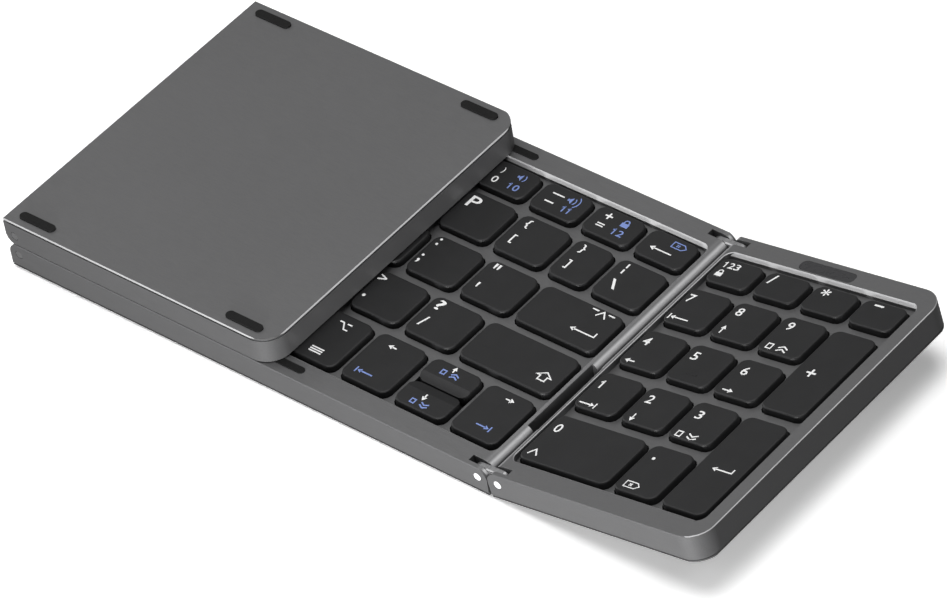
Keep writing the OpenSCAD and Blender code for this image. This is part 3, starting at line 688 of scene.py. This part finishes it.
# each print: key, ink, sign, centre x and y, width (None: as the font has it), height.
# The places are in the panel's own frame, and an arrow has its length one way and 0 the other.
MIDDLE_PRINTS = [
    ("key_0", "white", ")", 99.4, 94.1, None, 2.4),
    ("key_0", "white", "0", 99.5, 90.1, 1.9, 2.5),
    ("key_0", "blue", "speaker", 106.0, 94.2, 3.3, 2.4),
    ("key_0", "blue", "10", 105.8, 90.1, 4.2, 2.4),
    ("key_minus", "white", "dash", 118.8, 94.1, 4.0, 0.45),
    ("key_minus", "white", "dash", 118.1, 90.6, 3.0, 0.5),
    ("key_minus", "blue", "speaker_up", 124.3, 94.0, 4.4, 2.5),
    ("key_minus", "blue", "11", 124.3, 90.3, 3.6, 2.4),
    ("key_equals", "white", "+", 136.0, 94.5, 2.4, 2.4),
    ("key_equals", "white", "=", 135.9, 90.6, 2.4, 1.3),
    ("key_equals", "blue", "padlock", 141.9, 94.3, 2.4, 2.8),
    ("key_equals", "blue", "12", 141.9, 90.4, 4.2, 2.4),
    ("key_backspace", "blue", "erase", 160.0, 94.7, 4.4, 2.1),
    ("key_backspace", "white", "long_left", 156.4, 90.9, 7.2, 1.5),
    ("key_p", "white", "P", 100.7, 79.8, 3.6, 4.3),
    ("key_open_bracket", "white", "{", 119.0, 80.5, 1.5, 3.4),
    ("key_open_bracket", "white", "[", 119.1, 73.8, 1.1, 3.5),
    ("key_close_bracket", "white", "}", 138.1, 80.5, 1.5, 3.4),
    ("key_close_bracket", "white", "]", 138.1, 73.8, 1.1, 3.5),
    ("key_backslash", "white", "broken_bar", 152.8, 80.3, 0.5, 4.2),
    ("key_backslash", "white", "\\", 153.8, 74.0, 2.8, 3.6),
    ("key_semicolon", "white", ":", 102.6, 62.4, None, 2.9),
    ("key_semicolon", "white", ";", 102.2, 54.7, None, 3.7),
    ("key_quote", "white", "\"", 122.7, 62.9, 1.9, 2.0),
    ("key_quote", "white", "'", 122.5, 54.8, 0.6, 1.9),
    ("key_return", "white", "enter", 158.7, 62.9, 7.4, 2.2),
    ("key_return", "white", "return", 158.3, 55.2, 8.2, 2.5),
    ("key_period", "white", ">", 98.8, 43.4, 2.5, 2.4),
    ("key_period", "white", "dot", 98.6, 35.4, None, 1.0),
    ("key_slash", "white", "?", 119.1, 43.1, 2.3, 3.8),
    ("key_slash", "white", "/", 119.0, 36.1, 1.7, 3.9),
    ("key_shift", "white", "shift", 160.3, 36.3, 4.6, 3.2),
    ("key_option", "white", "branch", 101.9, 23.2, 4.2, 2.2),
    ("key_option", "white", "steps", 101.6, 12.2, 4.2, 2.2),
    ("key_left", "white", "left", 118.6, 23.7, 2.8, 0),
    ("key_left", "blue", "start", 118.2, 12.3, 5.6, 2.0),
    ("key_up", "white", "up", 138.6, 25.7, 0, 2.2),
    ("key_up", "blue", "page_up", 138.5, 23.6, 5.6, 1.8),
    ("key_down", "white", "down", 138.3, 13.4, 0, 2.5),
    ("key_down", "blue", "page_down", 138.5, 10.9, 5.6, 1.8),
    ("key_right", "white", "right", 158.5, 24.4, 2.8, 0),
    ("key_right", "blue", "end", 158.6, 13.1, 4.8, 2.0),
]
RIGHT_PRINTS = [
    ("pad_lock", "white", "123", 8.0, 94.9, 6.0, 2.3),
    ("pad_lock", "white", "padlock", 6.6, 91.4, 2.2, 2.6),
    ("pad_divide", "white", "/", 22.6, 94.4, 1.8, 3.7),
    ("pad_multiply", "white", "*", 40.3, 95.2, 2.8, 2.8),
    ("pad_minus", "white", "dash", 57.8, 95.8, 3.0, 0.6),
    ("pad_7", "white", "7", 6.1, 79.6, 2.2, 3.1),
    ("pad_7", "white", "start", 8.3, 71.4, 6.6, 2.1),
    ("pad_8", "white", "8", 23.0, 79.8, 2.1, 3.1),
    ("pad_8", "white", "up", 23.0, 72.2, 0, 3.2),
    ("pad_9", "white", "9", 40.1, 80.0, 2.1, 3.1),
    ("pad_9", "white", "page_up", 42.3, 71.3, 6.6, 2.2),
    ("pad_plus", "white", "+", 57.8, 66.3, 3.0, 3.0),
    ("pad_4", "white", "4", 6.4, 60.4, 2.3, 3.1),
    ("pad_4", "white", "left", 7.1, 52.1, 3.3, 0),
    ("pad_5", "white", "5", 23.3, 60.3, 2.1, 3.1),
    ("pad_6", "white", "6", 40.3, 60.3, 2.1, 3.1),
    ("pad_6", "white", "right", 40.8, 52.1, 3.5, 0),
    ("pad_1", "white", "1", 6.5, 41.2, 1.6, 3.1),
    ("pad_1", "white", "end", 8.0, 33.2, 5.6, 2.1),
    ("pad_2", "white", "2", 23.3, 41.2, 2.1, 3.1),
    ("pad_2", "white", "down", 23.4, 33.5, 0, 3.0),
    ("pad_3", "white", "3", 40.3, 41.1, 2.1, 3.1),
    ("pad_3", "white", "page_down", 42.3, 33.0, 6.6, 2.2),
    ("pad_0", "white", "0", 7.1, 22.2, 2.2, 3.2),
    ("pad_0", "white", "caret", 7.2, 12.0, 3.0, 2.2),
    ("pad_point", "white", "dot", 39.9, 22.2, None, 1.0),
    ("pad_point", "white", "erase", 41.4, 11.5, 4.6, 2.2),
    ("pad_enter", "white", "return", 60.5, 25.6, 6.6, 2.4),
]


def tree_of(node):
    """A search tree of a node's faces, for rays."""
    mesh = NODES[node].data
    points = [v.co for v in mesh.vertices]
    return BVHTree.FromPolygons(points, [p.vertices for p in mesh.polygons])


def print_solid(shape, tree, to_row):
    """Turns a flat shape into a thin closed solid that lies on the key's own surface."""
    points, faces = merged(*shape)
    down = (to_row.to_3x3() @ Vector((0, 0, -1))).normalized()
    back = to_row.inverted()
    tops = []
    for x, y in points:
        hit = tree.ray_cast(to_row @ Vector((x, y, TOP_Z)), down)[0]
        tops.append((back @ hit).z)
    n = len(points)
    verts = [to_row @ Vector((x, y, z + PRINT_UP)) for (x, y), z in zip(points, tops)]
    verts += [to_row @ Vector((x, y, z - PRINT_DOWN)) for (x, y), z in zip(points, tops)]
    edges = {(a, b) for f in faces for a, b in zip(f, f[1:] + f[:1])}
    rims = [(a, b) for a, b in edges if (b, a) not in edges]
    solid = [tuple(f) for f in faces]
    solid += [tuple(n + i for i in reversed(f)) for f in faces]
    solid += [(a, a + n, b + n, b) for a, b in sorted(rims)]
    return verts, solid


def print_keys(prints, to_row, inks):
    """One printed piece for each key and ink, riding on that key."""
    groups = {}
    trees = {}
    for node, ink, sign, x, y, w, h in prints:
        if sign in ICONS:
            shapes = ICONS[sign](w, h)
        elif sign.isdigit() and "1" in sign:
            shapes = number(sign, w, h)
        else:
            shapes = glyph(sign, w, h)
        if node not in trees:
            trees[node] = tree_of(node)
        verts, faces = groups.setdefault((node, ink), ([], []))
        for points, rings in shapes:
            moved = [(px + x, py + y) for px, py in points]
            new_verts, new_faces = print_solid((moved, rings), trees[node], to_row)
            start = len(verts)
            verts += new_verts
            faces += [tuple(start + i for i in f) for f in new_faces]
    for (node, ink), (verts, faces) in groups.items():
        name = f"{node}_print_{ink}"
        mesh = bpy.data.meshes.new(name)
        mesh.from_pydata(verts, [], faces)
        mesh.materials.append(inks[ink])
        piece = bpy.data.objects.new(name, mesh)
        bpy.context.scene.collection.objects.link(piece)
        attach(piece, BODY_OF[node])


# ---- flat cables: each is made of two ribbons ----

CABLE_T = 0.25 * MM
CABLE_BEND = 1.3 * MM
CABLE_STEP = 0.3 * MM
# the ends of each ribbon's span are set this far either side of its pin
PIN_REACH = 2.2 * MM


def dense(points):
    """The same path of (x, z) points with no span longer than the step."""
    out = [points[0]]
    for a, b in zip(points, points[1:]):
        n = max(1, math.ceil(math.dist(a, b) / CABLE_STEP))
        out += [(a[0] + (b[0] - a[0]) * i / n, a[1] + (b[1] - a[1]) * i / n)
                for i in range(1, n + 1)]
    return out


def ribbon(name, path, low_y, high_y, mat):
    """A closed strip of constant thickness along a path of (x, z) points."""
    path = dense(path)
    last = len(path) - 1
    verts = []
    for i, (x, z) in enumerate(path):
        a, b = path[max(0, i - 1)], path[min(last, i + 1)]
        side = Vector((a[1] - b[1], b[0] - a[0])).normalized() * CABLE_T / 2
        for sign in (1, -1):
            verts += [(x + sign * side.x, y, z + sign * side.y) for y in (low_y, high_y)]
    faces = [(0, 2, 3, 1), (4 * last, 4 * last + 1, 4 * last + 3, 4 * last + 2)]
    for a in range(0, 4 * last, 4):
        b = a + 4
        faces += [(a, a + 1, b + 1, b), (a + 2, b + 2, b + 3, a + 3),
                  (a, b, b + 2, a + 2), (a + 1, a + 3, b + 3, b + 1)]
    mesh = bpy.data.meshes.new(name)
    mesh.from_pydata(verts, [], faces)
    shape = bmesh.new()
    shape.from_mesh(mesh)
    bmesh.ops.recalc_face_normals(shape, faces=shape.faces)
    shape.to_mesh(mesh)
    shape.free()
    mesh.materials.append(mat)
    piece = bpy.data.objects.new(name, mesh)
    bpy.context.scene.collection.objects.link(piece)
    return piece


def bend_cable(node, paths, links, ends, mat):
    """Two ribbons for one cable along the given paths; the cable's own solid is hidden."""
    low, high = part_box(node)
    for half, path, bodies, (start, end) in zip(("inner", "outer"), paths, links, ends):
        piece = ribbon(f"{node}_{half}", path, low.y, high.y, mat)
        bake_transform(piece)
        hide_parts(node)


def make_left_cable(mat):
    """Out of the middle panel, up beside the link, and back into the folded panel."""
    low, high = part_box("left_flex_cable")
    half = CABLE_T / 2
    x, z, mid = low.x + half, low.z + half, (low.z + high.z) / 2
    pin = JOINTS["left_link_fold"]["pos_m"]
    inner = [(high.x, z), *arc(x + CABLE_BEND, z + CABLE_BEND, CABLE_BEND, 270, 180), (x, mid)]
    outer = [(px, 2 * mid - pz) for px, pz in inner[::-1]]
    start, end = (pin[0] + PIN_REACH, z), (x, pin[2])
    ends = [(start, end), ((x, 2 * mid - end[1]), (start[0], 2 * mid - z))]
    links = [("middle_panel", "left_link"), ("left_link", "left_panel")]
    bend_cable("left_flex_cable", (inner, outer), links, ends, mat)


def make_right_cable(mat):
    """Straight out of the middle panel, then on along the raised one."""
    low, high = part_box("left_flex_cable")
    z = low.z + CABLE_T / 2
    z_mm = (z - MIDDLE.translation.z) / MM
    pin = JOINTS["right_link_fold"]["pos_m"]
    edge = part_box("middle_top_frame")[1].x

    def right(x_mm):
        place = RIGHT @ Vector((x_mm, 0, z_mm))
        return place.x, place.z

    # from the panels' edges, it starts, crosses and ends as far in as the left one
    out = (low.x - MIDDLE.translation.x) / MM
    far = (high.x - MIDDLE.translation.x) / MM
    near, across = (edge - out * MM, z), right(out)
    middle = ((near[0] + across[0]) / 2, (near[1] + across[1]) / 2)
    paths = ([(edge - far * MM, z), near, middle], [middle, across, right(far)])
    reach = PIN_REACH / MM
    ends = [((pin[0] - PIN_REACH, z), (pin[0] + PIN_REACH, z)),
            (right(PIN_X - reach), right(PIN_X + reach))]
    links = [("middle_panel", "right_link"), ("right_link", "right_panel")]
    bend_cable("right_flex_cable", paths, links, ends, mat)


# ---- studio ----

# the floor and the backdrop are white to the camera, and dim to other rays
FLOOR_SIZE = 8
FLOOR_SHINE = 0.08
FLOOR_WHITE = 1.25
FLOOR_FIBRE = 1.03
FLOOR_BOUNCE = 0.1
FLOOR_GLOW = 0.08
# metres from the object at which the glow of the floor begins to rise, and is white
GLOW_NEAR = 0.5
GLOW_FAR = 1.6
ROOM_LIGHT = 0.05
BACKDROP_SHINE = 0.42

# each lamp: name, place, size, watts, and the point that it faces
LAMPS = [
    ("top_softbox", (-0.05, 0.05, 1.5), (1.2, 1.2), 16.5, (0, 0, 0)),
    ("front_strip", (0.15, -0.5, 0.05), (0.2, 0.06), 5, (0.06, 0, 0)),
    ("left_strip", (-0.6, -0.75, 0.62), (0.4, 0.3), 1.2, (0, 0, 0)),
    ("back_strip", (0.72, 0.62, 0.75), (0.4, 0.3), 1.3, (0, 0, 0)),
    ("left_fill", (-1.1, 0, 0.5), (0.6, 0.5), 4, (0, 0, 0)),
]


def make_lamp(name, place, size, watts, target):
    data = bpy.data.lights.new(name, "AREA")
    data.shape = "RECTANGLE"
    data.size, data.size_y = size
    data.energy = watts
    lamp = bpy.data.objects.new(name, data)
    lamp.location = place
    lamp.visible_camera = False
    lamp.rotation_euler = (Vector(place) - Vector(target)).to_track_quat("Z", "Y").to_euler()
    bpy.context.scene.collection.objects.link(lamp)


def seen_rays(b):
    """1 for a ray from the camera or through glass, part for a reflection, else 0."""
    path = b.add("ShaderNodeLightPath")
    seen = b.maths("ADD", path.outputs["Is Camera Ray"], path.outputs["Is Transmission Ray"])
    shine = b.maths("MULTIPLY", path.outputs["Is Glossy Ray"], FLOOR_SHINE)
    return b.maths("MINIMUM", b.maths("ADD", seen, shine), 1.0)


def make_floor():
    """White paper, which glows more with the distance so that its far part is white too."""
    bpy.ops.mesh.primitive_plane_add(size=FLOOR_SIZE)
    floor = bpy.context.object
    floor.name = "floor"
    b = Build("floor_paper", rough=0.9, specular=0.0)
    fibre = b.noise(900.0, 2)
    bright = b.mix(fibre, (FLOOR_WHITE,) * 3, (FLOOR_WHITE * FLOOR_FIBRE,) * 3)
    b.colour(b.mix(seen_rays(b), (FLOOR_BOUNCE,) * 3, bright))
    b.put("Emission Color", (1, 1, 1, 1))
    away = b.add("ShaderNodeVectorMath", operation="LENGTH")
    b.link(b.coords, away.inputs[0])
    glow = b.ramp(away.outputs["Value"], GLOW_NEAR, GLOW_FAR, FLOOR_GLOW, 1.0)
    b.link(b.maths("MULTIPLY", seen_rays(b), glow), b.shader.inputs["Emission Strength"])
    floor.data.materials.append(b.mat)


def make_world():
    """A dim room, whose walls are white to the camera and through glass."""
    world = bpy.data.worlds.new("studio")
    bpy.context.scene.world = world
    world.use_nodes = True
    tree = world.node_tree
    path = tree.nodes.new("ShaderNodeLightPath")
    direct = tree.nodes.new("ShaderNodeMath")
    direct.operation = "MAXIMUM"
    seen = tree.nodes.new("ShaderNodeMath")
    seen.operation = "MULTIPLY_ADD"
    seen.inputs[1].default_value = BACKDROP_SHINE
    mix = tree.nodes.new("ShaderNodeMix")
    mix.data_type = "RGBA"
    mix.inputs[MIX_LOW].default_value = (ROOM_LIGHT,) * 3 + (1,)
    mix.inputs[MIX_HIGH].default_value = (1, 1, 1, 1)
    tree.links.new(path.outputs["Is Glossy Ray"], seen.inputs[0])
    tree.links.new(path.outputs["Is Camera Ray"], direct.inputs[0])
    tree.links.new(path.outputs["Is Transmission Ray"], direct.inputs[1])
    tree.links.new(direct.outputs[0], seen.inputs[2])
    tree.links.new(seen.outputs[0], mix.inputs[MIX_FACTOR])
    tree.links.new(mix.outputs[MIX_RESULT], tree.nodes["Background"].inputs["Color"])


# ---- the scene ----

INKS = {"white": print_ink("white_ink", (0.88, 0.88, 0.88)),
        "blue": print_ink("blue_ink", (0.2, 0.28, 0.6))}
CABLE = flat_cable()

make_camera()
dress_all(CABLE)
print_keys(MIDDLE_PRINTS, MIDDLE, INKS)
print_keys(RIGHT_PRINTS, RIGHT, INKS)
make_left_cable(CABLE)
make_right_cable(CABLE)
make_floor()
make_world()
for lamp_row in LAMPS:
    make_lamp(*lamp_row)

bpy.context.scene.view_settings.view_transform = "Standard"
